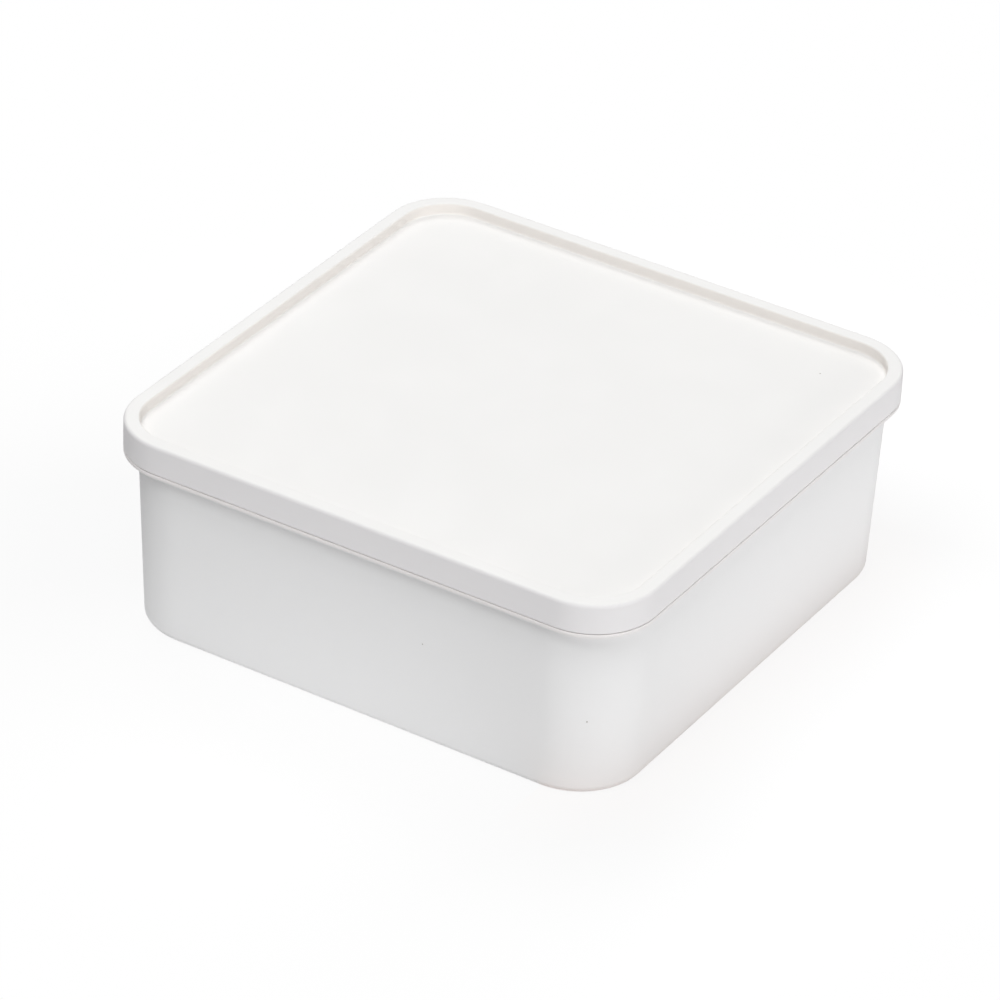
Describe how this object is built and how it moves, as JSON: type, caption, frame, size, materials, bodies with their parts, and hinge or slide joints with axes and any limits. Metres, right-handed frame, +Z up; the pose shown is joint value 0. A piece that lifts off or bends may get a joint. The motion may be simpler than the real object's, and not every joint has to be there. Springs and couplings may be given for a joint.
{
  "type": "divided food storage container",
  "caption": "Square lidded food box with tapered walls, a tray-top plug-in lid with a silicone seal, and halved divider panels that lift out of guide ribs.",
  "frame": {"origin": "middle of the foot ring's underside, where the closed container stands", "axes": "+Z up out of the lid, +X along the lower divider, +Y along the upper divider"},
  "size_m": [0.2, 0.2, 0.0773],
  "materials": {
    "white_plastic": "white moulded polypropylene, satin",
    "divider_plastic": "white moulded polypropylene, satin",
    "silicone": "milky silicone rubber, matt"
  },
  "bodies": {
    "box": {"outer_box": "white_plastic"},
    "lower_divider_panel": {"lower_divider": "divider_plastic"},
    "upper_divider_panel": {"upper_divider": "divider_plastic"},
    "lid_with_seal": {"lid": "white_plastic", "lid_seal": "silicone"}
  },
  "joints": [
    {"name": "lower_divider_lift", "type": "slide", "parent": "box", "child": "lower_divider_panel", "axis": [0, 0, 1], "range_m": [0, 0.08]},
    {"name": "upper_divider_lift", "type": "slide", "parent": "lower_divider_panel", "child": "upper_divider_panel", "axis": [0, 0, 1], "range_m": [0, 0.08]},
    {"name": "lid_lift", "type": "slide", "parent": "upper_divider_panel", "child": "lid_with_seal", "axis": [0, 0, 1], "range_m": [0, 0.12]}
  ]
}
